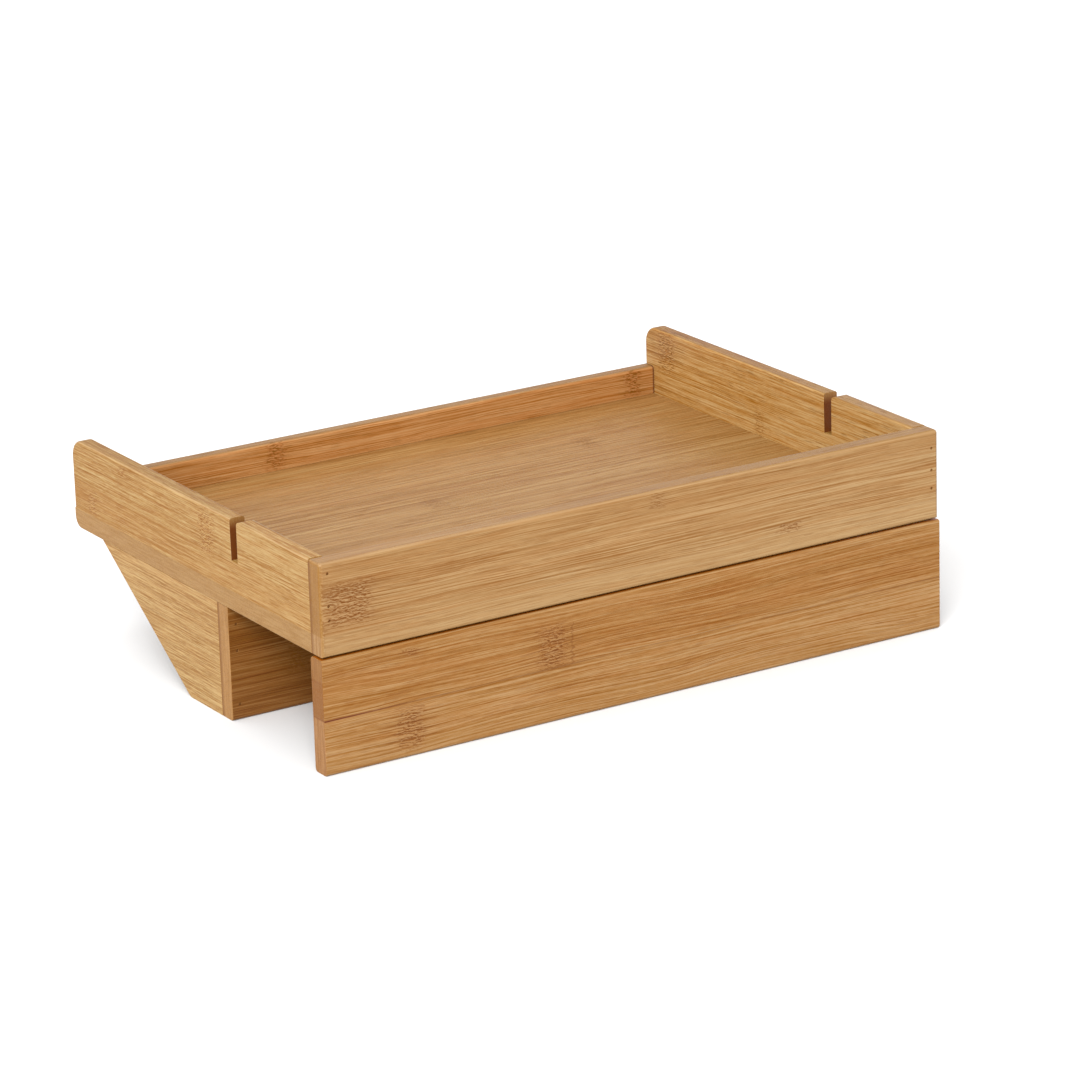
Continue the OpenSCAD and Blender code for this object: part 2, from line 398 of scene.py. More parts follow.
# how long, wide and deep the marks of the grain are, in millimetres
grainSizes = {
    "wander": (22, 22), "streak": (170, 1.0, 1.0), "band": (260, 6, 6), "line": (120, 0.65, 0.65),
    "hair": (0.45, 0.45), "fleck": (4, 0.5, 0.5), "dashField": (60, 6, 6), "shortDash": (10, 0.42, 0.42),
    "longDash": (36, 0.45, 0.45), "longBlush": (190, 4.5, 4.5), "mottle": (20, 2.6, 2.6),
    "glue": (40, 40, 40), "endFibre": (40, 16, 0.75), "endSpeck": (3, 0.9, 0.6),
}
knuckleSizes = {
    "ragged": (5.0, 1.6, 3.0), "stray": (15, 2.5, 0), "halfDepth": 3.0, "tail": 0.42,
    "crumple": (6.0, 1.8, 0), "squiggle": (2.3, 0.75, 3.0), "shade": (0.25, 0.5, 0), "creaseDepth": 2.0,
}
woodLight = {
    "level": 2.25,           # how much brighter a lit board looks than its own colour
    "gloss": 0.035,          # what the varnish adds to every board
    "darkest": 0.004,
}


def asSeen(red, green, blue):
    # the wood's own colour, from how it looks in the studio light
    own = []
    for part in (red, green, blue):
        share = part / 255
        linear = share / 12.92 if share <= 0.04045 else ((share + 0.055) / 1.055) ** 2.4
        own.append(max(linear - woodLight["gloss"], woodLight["darkest"]) / woodLight["level"])
    return (*own, 1.0)


def layOver(colour, tone, mask, share=None):
    # the tone laid over the colour where the mask says
    return blendColour(mask if share is None else times(mask, share), colour, asSeen(*tone))


def tintWith(colour, tint, factor):
    return blendColour(factor, colour, (*tint, 1.0), "MULTIPLY")


def drawStrips(look, v, w, faceAt, middleAt):
    # strips and plies, with the joints of each ply set off from those of the next
    plyPlace = plus(calc("DIVIDE", minus(w, middleAt), look["plyThickness"]), 0.5)
    ply = calc("FLOOR", plyPlace)
    facePly = math.floor((faceAt - middleAt) / look["plyThickness"] + 0.5)
    otherPly = calc("GREATER_THAN", offFrom(ply, float(facePly)), 0.5)
    stripPlace = calc("DIVIDE", minus(v, look["jointAt"]), look["stripWidth"])
    stripPlace = plus(stripPlace, times(otherPly, look["plyShift"]))

    # chance gives each strip its tone, its redness and its own stretch of the grain
    board = joinAxes(calc("FLOOR", stripPlace), ply, look["seed"])
    draw = fedNode("TexWhiteNoise", [board], noise_dimensions="3D")
    drawn = takeApart(draw.outputs["Color"], "Color")
    chance = times(minus(drawn[0], 0.5), look["spread"])
    shift = times(plus(drawn[1], drawn[2]), 700.0)
    if look["strips"]:
        # strip tones of the face, read off a ramp 1000 mm long that is centred on zero
        stops = [((start + 500) / 1000, (*values, 1)) for start, *values in look["strips"]]
        along = calc("DIVIDE", plus(v, 500.0), 1000.0)
        given = takeApart(colourRamp(along, stops, "CONSTANT"), "Color")
        tone = plus(minus(given[0], 0.5), times(chance, otherPly))
        return plyPlace, stripPlace, shift, tone, given[1], given[2]
    return plyPlace, stripPlace, shift, chance, times(drawn[2], 0.6), 1.0


def drawDashes(look, grain):
    # short dark fibre dashes that gather in fields
    start = look["dashStart"]
    field = fade(drawnNoise(grain, grainSizes["dashField"]), 0.36, 0.62, 0.25, 1.0)
    short = fade(drawnNoise(grain, grainSizes["shortDash"], 0.0), start, start + 0.13)
    long = fade(drawnNoise(grain, grainSizes["longDash"], 0.0), start + 0.02, start + 0.16)
    return times(larger(short, times(long, 0.8)), field)


def drawKnuckles(look, board, line, colour, height):
    # short squiggles across the strip, with a ragged edge and dark tails along the grain
    ragged = drawnNoise(board, knuckleSizes["ragged"], output=1)
    stray = vectorCalc("SUBTRACT", ragged, (0.5, 0.5, 0.5))
    loose = vectorCalc("ADD", board, vectorCalc("MULTIPLY", stray, knuckleSizes["stray"]))
    marks = tails = 0.0
    for ku, kv, kw, halfLength, halfHeight, strength in look["knuckles"]:
        away = vectorCalc("SUBTRACT", loose, (ku, kv, kw))
        away = vectorCalc("DIVIDE", away, (halfLength, halfHeight, knuckleSizes["halfDepth"]))
        along, across, through = takeApart(vectorCalc("ABSOLUTE", away))
        across = larger(across, through)
        marks = larger(marks, fade(larger(along, across), 0.5, 1.2, strength, 0.0))
        drawnOut = larger(times(along, knuckleSizes["tail"]), across)
        tails = larger(tails, fade(drawnOut, 0.4, 1.1, strength, 0.0))
    crumpled = vectorCalc("ADD", board, vectorCalc("MULTIPLY", stray, knuckleSizes["crumple"]))
    squiggle = drawnNoise(crumpled, knuckleSizes["squiggle"], 1.0)
    below = drawnNoise(vectorCalc("SUBTRACT", crumpled, knuckleSizes["shade"]), knuckleSizes["squiggle"], 1.0)
    # painted light on the squiggles: glint is a painted highlight on one side of each, shadow a painted shade
    # on the other, so they read as a relief
    relief = minus(squiggle, below)
    shadow = times(fade(relief, -0.02, -0.15), marks)
    glint = times(fade(relief, 0.03, 0.17), marks)
    tail = times(fade(line, -0.02, -0.16), tails)
    colour = tintWith(colour, look["knuckleTint"], times(marks, 0.8))
    colour = layOver(colour, look["fibre"], tail, 0.45)
    colour = layOver(colour, look["pale"], glint, 0.55)
    colour = layOver(colour, look["fibre"], shadow, 0.95)
    for cu, cv, cw, halfHeight in look["creases"]:
        away = vectorCalc("SUBTRACT", crumpled, (cu, cv, cw))
        along, across, through = takeApart(vectorCalc("ABSOLUTE", away))
        nearFace = calc("LESS_THAN", through, knuckleSizes["creaseDepth"])
        inside = times(calc("LESS_THAN", across, halfHeight), nearFace)
        colour = layOver(colour, look["fibre"], times(fade(along, 0.9, 0.2), inside), 0.45)
    return colour, minus(height, times(shadow, 0.7))


def drawJoints(look, board, u, v, plyPlace, stripPlace, colour):
    # glue lines between strips, and between plies where an edge or an end shows them
    lines = []
    for place, size, start, end in ((stripPlace, look["stripWidth"], 0.55, 0.12),
                                    (plyPlace, look["plyThickness"], 0.32, 0.06)):
        lines.append(fade(offFrom(calc("FRACT", place), 0.5), 0.5 - start / size, 0.5 - end / size))
    patchy = fade(drawnNoise(board, grainSizes["glue"]), 0.3, 0.6, 0.35, 1.0)
    glue = times(larger(lines[0], times(lines[1], 0.7)), patchy)
    colour = layOver(colour, look["glueTone"], glue, look["glueLine"])
    for seamAt, seamFrom, seamTo, strength in look["seams"]:
        mark = times(fade(offFrom(v, seamAt), 0.15, 0.7, strength, 0.0), fade(u, seamFrom, seamTo, 1.0, 0.0))
        colour = layOver(colour, look["seamTone"], mark)
    return colour


def drawEdges(look, u, upNormal, faceOn, colour):
    # painted highlight: rounded edges are painted paler than the faces they part; painted shade: faces turned
    # up are tinted darker
    tone = asSeen(*(look["edgeHighlightTone"] or look["pale"]))
    share = look["edgeHighlight"]
    if look["corner"]:
        notUpright = fade(upNormal, 0.1, 0.3)
        tone = blendColour(notUpright, asSeen(*look["corner"]), tone)
        share = plus(0.5, times(notUpright, share - 0.5))
    edgeHighlight = times(fade(faceOn, 0.15, 0.5), fade(faceOn, 0.8, 0.98, 1.0, 0.0))
    colour = blendColour(times(edgeHighlight, share), colour, tone)
    upwards = fade(upNormal, 0.6, 0.95)
    if look["topShadeFrom"]:
        upwards = times(upwards, fade(u, *look["topShadeFrom"]))
    return blendColour(upwards, colour, tintWith(colour, look["topShade"], 1.0))


def drawSawnEnds(look, board, u, v, w, endOn, colour):
    # a quieter tone, with plies and fibres that stand across the board
    tone = asSeen(*look["sawnEnd"])
    for top, bandTone in look["sawnBands"]:
        tone = layOver(tone, bandTone, calc("LESS_THAN", v, top))
    fibres = fade(drawnNoise(board, grainSizes["endFibre"]), 0.40, 0.62)
    specks = fade(drawnNoise(board, grainSizes["endSpeck"], 1.0), 0.5, 0.72)
    tone = layOver(tone, look["sawnFibre"], fibres, 0.7)
    tone = layOver(tone, look["deep"], specks, 0.3)
    tone = blendColour(0.3, tone, colour)
    # painted shade on the wall of a cut, stronger further down from the top
    if look["slotShade"]:
        start, end = look["slotShade"]
        inCut = times(calc("GREATER_THAN", u, start), calc("LESS_THAN", u, end))
        tone = layOver(tone, look["slotShadeTone"], times(inCut, fade(v, *look["slotShadeHeights"], 0.35, 0.95)))
    if look["endSeam"] is not None:
        tone = layOver(tone, look["endSeamTone"], fade(offFrom(w, look["endSeam"]), 0.8, 3.6, 0.7, 0.0))
    return blendColour(fade(endOn, *look["sawnFrom"]), colour, tone)


def makeBamboo(name, node, axes, face, **changes):
    # axes: what u, v and w are of the object's own; face: 0 or 1 for the low or the high side
    # of the node's box, the one whose strips are given
    look = {**bambooBase, **changes}
    material, shader, coordinates = freshMaterial(name)
    alongGrain, acrossStrips, throughPlies = ["xyz".index(axis) for axis in axes]
    place = takeApart(coordinates["Object"])
    facing = takeApart(coordinates["Normal"])
    u, v, w = [times(place[i], 1000.0) for i in (alongGrain, acrossStrips, throughPlies)]
    endOn, faceOn = [calc("ABSOLUTE", facing[i]) for i in (alongGrain, throughPlies)]
    board = joinAxes(u, v, w)
    faceAt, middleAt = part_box(node)[face][throughPlies] / mm, middleOf(node, throughPlies) / mm
    strips = drawStrips(look, v, w, faceAt, middleAt)
    plyPlace, stripPlace, shift, stripTone, redness, grained = strips

    # the grain wanders a little, and every strip has its own stretch of it
    wander = times(swing(board, (look["waveLength"], *grainSizes["wander"]), 1.0), look["wave"] * 4)
    grain = joinAxes(plus(u, shift), plus(v, wander), w)
    streak = swing(grain, grainSizes["streak"], 3.0, 0.6)
    band = swing(grain, grainSizes["band"], 1.0)
    line = swing(grain, grainSizes["line"])
    hair = swing(grain, (look["hairLength"], *grainSizes["hair"]))
    fleck = swing(grain, grainSizes["fleck"])
    dash = drawDashes(look, grain)

    # tone, patches of orange and dashes
    marks = times(streak, look["streaks"])
    for part, share in ((band, look["streaks"] * 0.45), (line, look["lines"]),
                        (hair, look["hairs"]), (fleck, look["flecks"])):
        marks = plus(marks, times(part, share))
    tone = plus(plus(0.5, stripTone), times(u, look["tilt"]))
    tone = plus(tone, times(marks, grained), clamp=True)
    colour = colourRamp(tone, [(0, asSeen(*look["deep"])), (0.5, asSeen(*look["middle"])),
                               (1, asSeen(*look["pale"]))])
    long = times(swing(grain, grainSizes["longBlush"], 2.0), 1.3)
    patch = times(swing(grain, grainSizes["mottle"], 2.0), look["mottle"] * 2.4)
    colour = tintWith(colour, look["red"], plus(redness, plus(long, patch), clamp=True))
    colour = layOver(colour, look["fibre"], dash, look["dashes"])
    height = minus(plus(times(hair, 0.8), times(streak, 0.5)), times(dash, 0.5))

    if look["knuckles"]:
        colour, height = drawKnuckles(look, board, line, colour, height)
    colour = drawJoints(look, board, u, v, plyPlace, stripPlace, colour)
    colour = drawEdges(look, u, facing[2], faceOn, colour)
    colour = drawSawnEnds(look, board, u, v, w, endOn, colour)
    # painted shade darkening the corner where the board meets the next one at each end
    if look["cornerShade"]:
        dark = fade(calc("ABSOLUTE", u), look["cornerShade"] - 1.6, look["cornerShade"] - 0.3, 0.0, 0.75)
        colour = layOver(colour, look["cornerShadeTone"], dark)
    # painted shade along an edge that lies in a narrow gap
    if look["gapShade"]:
        start, end, gapShadeTone = look["gapShade"]
        colour = layOver(colour, gapShadeTone, fade(v, start, end))

    feed(shader["Base Color"], colour)
    feed(shader["Roughness"], plus(plus(0.44, times(hair, 0.25)), times(dash, 0.12), clamp=True))
    shader["Specular IOR Level"].default_value = look["sheen"]
    shader["Coat Weight"].default_value = 0.03
    shader["Coat Roughness"].default_value = 0.35
    addBump(shader, height, 0.35, 0.00022)
    return material


def finishBoard(piece, name, node, axes, face=0, body="tray", slot="bamboo_tray", **look):
    finishPiece(piece, makeBamboo(name, node, axes, face, **look), body, slot, node)


# Metals and plastic

metals = {
    # colour, darker blotches, roughness and the size of the blotches in millimetres
    "nailSteel": ((0.25, 0.105, 0.032, 1), (0.17, 0.07, 0.022, 1), 0.6, 0.8),
    "zincSteel": ((0.66, 0.67, 0.69, 1), (0.52, 0.53, 0.54, 1), 0.25, 2.5),
    "insertBrass": ((0.78, 0.60, 0.30, 1), (0.62, 0.45, 0.20, 1), 0.28, 2.0),
}
plastic = {"dark": (0.026, 0.026, 0.029, 1), "light": (0.042, 0.042, 0.045, 1), "pit": 0.35, "cloud": 6.0}


def makeMetal(name):
    colour, darker, roughness, blotch = metals[name]
    material, shader, coordinates = freshMaterial(name)
    place = vectorCalc("MULTIPLY", coordinates["Object"], (1000.0,) * 3)
    blotches = drawnNoise(place, (blotch,) * 3, 4.0, 0.6)
    scratches = drawnNoise(place, (0.35, 0.35, 3.0))
    rough = plus(times(minus(scratches, 0.5), 0.3), times(blotches, 0.15))
    feed(shader["Base Color"], blendColour(fade(blotches, 0.35, 0.7), colour, darker))
    feed(shader["Roughness"], plus(rough, roughness, clamp=True))
    shader["Metallic"].default_value = 1.0
    addBump(shader, scratches, 0.15, 0.00005)
    return material


def makeKnobPlastic(name):
    material, shader, coordinates = freshMaterial(name)
    place = vectorCalc("MULTIPLY", coordinates["Object"], (1000.0,) * 3)
    pits = drawnNoise(place, (plastic["pit"],) * 3)
    cloud = drawnNoise(place, (plastic["cloud"],) * 3, 3.0)
    feed(shader["Base Color"], blendColour(cloud, plastic["dark"], plastic["light"]))
    feed(shader["Roughness"], plus(0.38, times(pits, 0.3)))
    shader["Specular IOR Level"].default_value = 0.45
    addBump(shader, pits, 0.3, 0.0001)
    return material


nailSteel, zincSteel, insertBrass = [makeMetal(name) for name in metals]
knobPlastic = makeKnobPlastic("knobPlastic")
print("metals and plastic ready")


# Nails

nails = {
    "headRadius": 0.7 * mm, "headThickness": 0.6 * mm, "shankRadius": 0.45 * mm, "point": 1.8 * mm,
    "sunk": 0.3 * mm, "room": 0.05 * mm, "holeStart": -1.4 * mm, "long": 25 * mm, "short": 20 * mm,
    "crown": [(0.0, 0.45), (0.04, 0.82), (0.14, 0.985), (0.22, 1.0)],    # (depth in mm, share of the head)
    "sides": 16,
}
bothSides = (-1, 1)
trayLow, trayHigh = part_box("tray_floor")
sideMiddle = -middleOf("left_side_panel", 0)
bracketMiddle = -middleOf("left_bracket", 0)
panelHead, fixedHead = [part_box(node)[0].y + nails["sunk"] for node in ("front_panel", "fixed_clamp_board")]
underHead = trayLow.z + nails["sunk"]
overHead = trayHigh.z - nails["sunk"]

# length, direction and places of each row; bare numbers are x, y or z in millimetres
nailRows = {
    "front_panel_nails": (nails["long"], inward, [
        (side * sideMiddle, panelHead, z * mm)
        for side, heights in ((-1, (106.7, 89.5, 82.0)), (1, (102.8, 90.6, 80.4))) for z in heights]),
    "side_panel_nails": (nails["long"], upward, [
        (side * sideMiddle, y * mm, underHead) for side in bothSides for y in (-100.75, -64.75, 122.25)]),
    "back_board_nails": (nails["short"], upward, [
        (x * mm, 130.25 * mm, underHead) for x in (-150, -60, 60, 150)]),
    "clamp_board_nails": (nails["long"], inward, [
        (side * bracketMiddle, fixedHead, z * mm) for side in bothSides for z in (52.7, 38.1, 8.8)]),
    "clamp_board_top_nails": (nails["long"], downward, [
        (x * mm, -30.5 * mm, overHead) for x in (-160, -40, 0, 40, 160)]),
    "bracket_nails": (nails["long"], downward, [
        (side * bracketMiddle, y * mm, overHead) for side in bothSides for y in (0.25, 35.25, 70.75)]),
}


def nailHoles(row):
    # the hole for each nail of a row, open above its sunk head
    length, direction, places = nailRows[row]
    headRoom = nails["headRadius"] + nails["room"]
    shankRoom = nails["shankRadius"] + nails["room"]
    shoulder = nails["headThickness"] + nails["room"]
    steps = [(nails["holeStart"], headRoom), (shoulder, headRoom), (shoulder, shankRoom),
             (length + nails["room"], shankRoom)]
    return setOut(turnBar("nailCutter", steps, nails["sides"]), places, direction)


head, shank, thick = nails["headRadius"], nails["shankRadius"], nails["headThickness"]
for row, (length, direction, places) in nailRows.items():
    steps = [(depth * mm, head * share) for depth, share in nails["crown"]]
    steps += [(thick - 0.1 * mm, head), (thick, head * 0.9), (thick, shank), (length - nails["point"], shank),
              (length - 0.2 * mm, shank * 0.25), (length, shank * 0.06)]
    nailSet = setOut(turnBar(row + "Set", steps, nails["sides"]), places, direction)
    finishPiece(nailSet, nailSteel, "tray", "nail_steel", row)
print("nails driven")


# Tray

screwAside, screwBack = 95, 0.25     # x and y of the two clamping screws, in millimetres
floorBoard = {
    "rearRadius": 6 * mm, "insertRoom": 4.55 * mm, "insertDepth": 8 * mm,
    "look": dict(
        seed=3.0, middle=(193, 147, 94), deep=(164, 113, 62), pale=(214, 173, 119), red=(1.0, 0.86, 0.72),
        sheen=0.12, wave=0.3, sawnEnd=(210, 167, 113), sawnFibre=(186, 139, 84), jointAt=-2.0,
        strips=[(-500, 0.50, 0.1, 1.0), (-102, 0.58, 0.05, 1.0), (-77, 0.46, 0.2, 1.1),
                (-52, 0.55, 0.1, 0.9), (-27, 0.50, 0.2, 1.0), (-2, 0.60, 0.1, 0.9), (23, 0.47, 0.3, 1.1),
                (48, 0.59, 0.35, 1.0), (73, 0.58, 0.5, 1.0), (98, 0.66, 0.6, 1.0)],
        knuckles=[(-118, -88, 73, 7, 12, 0.8), (-30, 22, 73, 6, 11, 0.8), (96, 68, 73, 6, 12, 0.8),
                  (150, -40, 73, 7, 12, 0.7), (38, -52, 63, 7, 12, 0.8), (-140, 60, 63, 7, 12, 0.8),
                  (150, 95, 63, 6, 12, 0.7), (-60, 110, 63, 6, 12, 0.7)]),
}
insertPlaces = [(side * screwAside * mm, screwBack * mm, trayLow.z) for side in bothSides]
piece = addBlock("trayFloorBoard", trayLow, trayHigh)
roundEdges(piece, floorBoard["rearRadius"], liesAt(y=trayHigh.y, z=trayLow.z), 10)
softenEdges(piece)
for row in ("side_panel_nails", "back_board_nails", "clamp_board_top_nails", "bracket_nails"):
    cutWith(piece, nailHoles(row))
insertHole = turnBar("insertHole", [(-1 * mm, floorBoard["insertRoom"]),
                                    (floorBoard["insertDepth"], floorBoard["insertRoom"])], 48)
cutWith(piece, setOut(insertHole, insertPlaces, upward))
finishBoard(piece, "floorBamboo", "tray_floor", "xyz", 1, **floorBoard["look"])
print("floor made")

sidePanels = {
    "cornerRadius": 10 * mm, "topRadius": 1.5 * mm, "lipRadius": 2.5 * mm, "slotEdge": 0.35 * mm,
    "slotFront": -50.25 * mm, "slotRear": -43.25 * mm, "slotFoot": 90.0 * mm, "mergeWithin": 0.01 * mm,
    "leftLook": dict(
        seed=11.0, middle=(209, 163, 99), deep=(184, 126, 57), pale=(229, 191, 131), fibre=(172, 112, 56),
        edgeHighlightTone=(224, 188, 146), topShade=(0.84, 0.83, 0.75), topShadeFrom=(-90, 10),
        knuckleTint=(0.98, 0.90, 0.74), hairs=1.5, hairLength=18.0, flecks=0.7, streaks=0.75,
        dashStart=0.56, tilt=-0.0008, wave=0.4, glueLine=0.0, slotShade=(-52, -42),
        strips=[(-500, 0.48, 0.45, 0.8), (88.0, 0.56, 0.10, 1.0)],
        knuckles=[(77.8, 107.5, -190, 6, 3.5, 0.8), (114, 81, -190, 5, 7, 0.9),
                  (-16.5, 98.5, -190, 8.5, 14, 1.0), (60, 100, -181, 6, 12, 0.8),
                  (-70, 80, -181, 6, 8, 0.7)]),
    "rightLook": dict(
        # painted light: these tones are raised to make up for the shade on the inner face inside the tray
        seed=17.0, middle=(217, 165, 101), deep=(189, 126, 58), pale=(237, 195, 136),
        topShade=(0.64, 0.57, 0.40), knuckleTint=(0.90, 0.75, 0.52), hairLength=18.0, flecks=0.5,
        streaks=0.5, mottle=0.4, tilt=-0.0012, edgeHighlight=0.1, glueLine=0.1, slotShade=(-52, -42),
        strips=[(-500, 0.66, 0.15, 0.9), (88.5, 0.65, 0.12, 1.0)],
        knuckles=[(114, 100, 181, 9, 13, 0.9), (20, 80, 181, 5, 8, 0.6), (40, 100, 190, 7, 12, 0.9),
                  (-90, 82, 190, 6, 8, 0.8), (110, 82, 190, 6, 8, 0.7)]),
}


def atPanelTop(low, high):
    # the upper edges of a side panel's two faces, on round its rear corner
    onFace = anyOf(liesAt(x=low.x), liesAt(x=high.x))
    slack = closeBy / 2
    cornerFrom = high.y - sidePanels["cornerRadius"] - slack

    def test(edge):
        ends = [end.co for end in edge.verts]
        aroundTop = all(end.z > high.z - slack or end.y > cornerFrom for end in ends)
        return onFace(edge) and aroundTop and (ends[0].z + ends[1].z) / 2 > low.z + slack
    return test


for node, look in (("left_side_panel", "leftLook"), ("right_side_panel", "rightLook")):
    low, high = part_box(node)
    piece = addBlock(node.split("_")[0] + "SideBoard", low, high)
    roundEdges(piece, sidePanels["cornerRadius"], liesAt(y=high.y, z=high.z), 14)

    # the open slot, with a rounded lip on the side towards the front
    slotFront, slotRear = sidePanels["slotFront"], sidePanels["slotRear"]
    cutWith(piece, addBlock("slotCutter", (low.x - 5 * mm, slotFront, sidePanels["slotFoot"]),
                            (high.x + 5 * mm, slotRear, high.z + 6 * mm)))
    roundEdges(piece, sidePanels["lipRadius"], liesAt(y=slotFront, z=high.z), 6)
    roundEdges(piece, sidePanels["topRadius"], atPanelTop(low, high), 4)
    mergeNear(piece, sidePanels["mergeWithin"])
    slotEdges = [liesAt(x=x, y=y) for x in (low.x, high.x) for y in (slotFront, slotRear)]
    roundEdges(piece, sidePanels["slotEdge"], anyOf(*slotEdges), 3)
    mergeNear(piece, sidePanels["mergeWithin"])
    softenEdges(piece)
    mergeNear(piece, sidePanels["mergeWithin"])
    cutWith(piece, nailHoles("front_panel_nails"), nailHoles("side_panel_nails"))
    finishBoard(piece, piece.name + "Bamboo", node, "yzx", plyThickness=3.4, jointAt=88.0, **sidePanels[look])
print("side panels made")

frontPanel = {
    "edgeRadius": 2 * mm,
    "look": dict(
        seed=23.0, middle=(197, 154, 105), deep=(171, 121, 73), pale=(214, 177, 129), fibre=(146, 94, 50),
        edgeHighlightTone=(212, 176, 132), corner=(174, 130, 78), topShade=(0.78, 0.70, 0.44),
        topShadeFrom=(-190, 170), knuckleTint=(0.84, 0.74, 0.66), sawnEnd=(192, 141, 79),
        sawnFibre=(176, 122, 63), sawnBands=[(73.5, (214, 168, 117))],
        gapShade=(62.95, 62.75, (158, 98, 52)), endSeam=-124.75, hairLength=40.0, flecks=0.3, streaks=0.6,
        dashes=0.3, tilt=0.0003, stripWidth=40.0, jointAt=73.5, glueLine=0.12,
        strips=[(-500, 0.70, 0.0, 0.6), (73.5, 0.5, 0.25, 1.0), (100.5, 0.47, 0.3, 0.7)],
        knuckles=[(-174, 89, -136.25, 14, 12.5, 1.0), (11, 107, -136.25, 5, 5, 0.5),
                  (93, 76.5, -136.25, 8, 3, 0.8), (-60, 86, -124.75, 7, 11, 0.8),
                  (120, 100, -124.75, 6, 9, 0.7)]),
}
low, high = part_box("front_panel")
piece = addBlock("frontPanelBoard", low, high)
roundEdges(piece, frontPanel["edgeRadius"], anyOf(
    liesAt(y=low.y, z=low.z), liesAt(y=low.y, z=high.z), liesAt(y=high.y, z=high.z), liesAt(x=low.x, y=low.y),
    liesAt(x=high.x, y=low.y), liesAt(x=low.x, z=high.z), liesAt(x=high.x, z=high.z)), 5)
softenEdges(piece)
cutWith(piece, nailHoles("front_panel_nails"))
finishBoard(piece, "frontPanelBamboo", "front_panel", "xzy", **frontPanel["look"])
print("front panel made")

backBoard = {
    "edgeRadius": 2 * mm,
    "look": dict(
        # painted light: these tones are raised to make up for the shade on the front face inside the tray
        seed=29.0, middle=(212, 151, 96), deep=(184, 118, 62), pale=(228, 174, 120), plyThickness=3.4,
        topShade=(0.68, 0.76, 0.76), knuckleTint=(0.85, 0.66, 0.48), dashes=0.4, edgeHighlight=0.1,
        cornerShade=181.0, jointAt=66.0,
        knuckles=[(166, 82, 127.25, 5, 9, 1.0), (-70, 82, 127.25, 6, 9, 0.9), (60, 82, 136.25, 6, 9, 0.9)]),
}
low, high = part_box("back_board")
piece = addBlock("backBoard", low, high)
roundEdges(piece, backBoard["edgeRadius"], anyOf(liesAt(y=low.y, z=high.z), liesAt(y=high.y, z=high.z)), 5)
softenEdges(piece)
cutWith(piece, nailHoles("back_board_nails"))
finishBoard(piece, "backBoardBamboo", "back_board", "xzy", **backBoard["look"])
print("back board made")


# Clamp under the tray

fixedBoard = {
    "footRadius": 2 * mm, "soften": 0.35 * mm, "notchWidth": 36.8 * mm, "notchDepth": 12.6 * mm,
    "look": dict(
        # painted shade: the face tones are set darker because this face sits in the shade under the tray; the
        # sawn ends are lighter
        seed=37.0, middle=(158, 108, 66), deep=(132, 84, 46), pale=(178, 130, 84), dashes=0.45,
        sawnEnd=(226, 174, 112), sawnFibre=(198, 146, 86), endSeam=-24.75, jointAt=13.0,
        knuckles=[(-150, 30, -36.25, 6, 12, 0.9), (20, 44, -36.25, 6, 12, 0.8),
                  (70, 20, -24.75, 7, 12, 0.9), (-110, 40, -24.75, 6, 12, 0.8)]),
}
low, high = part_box("fixed_clamp_board")
piece = addBlock("fixedClampBoard", low, high)
roundEdges(piece, fixedBoard["footRadius"], liesAt(y=low.y, z=low.z), 5)
for side in bothSides:
    # the notch that lets a slide arm through
    middle, half = side * screwAside * mm, fixedBoard["notchWidth"] / 2
    cutWith(piece, addBlock("notchCutter", (middle - half, low.y - 2 * mm, high.z - fixedBoard["notchDepth"]),
                            (middle + half, high.y + 2 * mm, high.z + 3 * mm)))
softenEdges(piece, fixedBoard["soften"])
cutWith(piece, nailHoles("clamp_board_nails"), nailHoles("clamp_board_top_nails"))
finishBoard(piece, "fixedBoardBamboo", "fixed_clamp_board", "xzy", slot="bamboo_clamp", **fixedBoard["look"])
print("fixed clamp board made")

brackets = {
    "footLength": 35.5 * mm, "footRound": 0.61 * mm,
    "look": dict(
        middle=(216, 174, 114), deep=(189, 139, 79), pale=(233, 195, 135), fibre=(164, 108, 56),
        plyThickness=3.4, streaks=0.35, lines=1.4, hairs=1.8, hairLength=18.0, flecks=0.7, dashes=0.45,
        mottle=0.5, wave=0.4, spread=0.2, sawnFrom=(0.5, 0.66), jointAt=37.7),
}
for outside, node, seed in ((0, "left_bracket", 41.0), (1, "right_bracket", 43.0)):
    low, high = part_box(node)
    piece = addBlock(node.split("_")[0] + "BracketBoard", low, high)

    # the sloped rear is sawn off from the foot up to the tray floor
    foot = Vector((0, low.y + brackets["footLength"], low.z))
    openAt(piece, "FACE", allOver)
    bpy.ops.mesh.bisect(plane_co=foot, plane_no=(0, high.z - foot.z, foot.y - high.y),
                        use_fill=True, clear_outer=True)
    bpy.ops.object.mode_set(mode="OBJECT")
    roundEdges(piece, brackets["footRound"], liesAt(y=foot.y, z=foot.z), 4)
    softenEdges(piece)
    cutWith(piece, nailHoles("clamp_board_nails"), nailHoles("bracket_nails"))
    inner = (high, low)[outside].x / mm
    finishBoard(piece, piece.name + "Bamboo", node, "yzx", outside, seed=seed, **brackets["look"],
                knuckles=[(30, 50, inner, 6, 11, 0.8), (-12, 22, inner, 5, 10, 0.7)])
print("brackets made")

dowels = {
    "length": 26 * mm, "radius": 3 * mm, "chamfer": 0.6 * mm, "room": 0.05 * mm, "pitch": 20 * mm,
    "before": 4.4 * mm,      # how far in front of the arm a dowel starts
    "look": dict(seed=71.0, stripWidth=400.0, plyThickness=60.0),
}
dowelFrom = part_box("left_slide_arm")[0].y - dowels["before"]
dowelPlaces = [(side * screwAside * mm + pair * dowels["pitch"] / 2, dowelFrom, middleOf("left_slide_arm", 2))
               for side in bothSides for pair in bothSides]


def dowelHoles():
    room = dowels["room"]
    steps = [(-room, dowels["radius"] + room), (dowels["length"] + room, dowels["radius"] + room)]
    return setOut(turnBar("dowelCutter", steps, 32), dowelPlaces, inward)


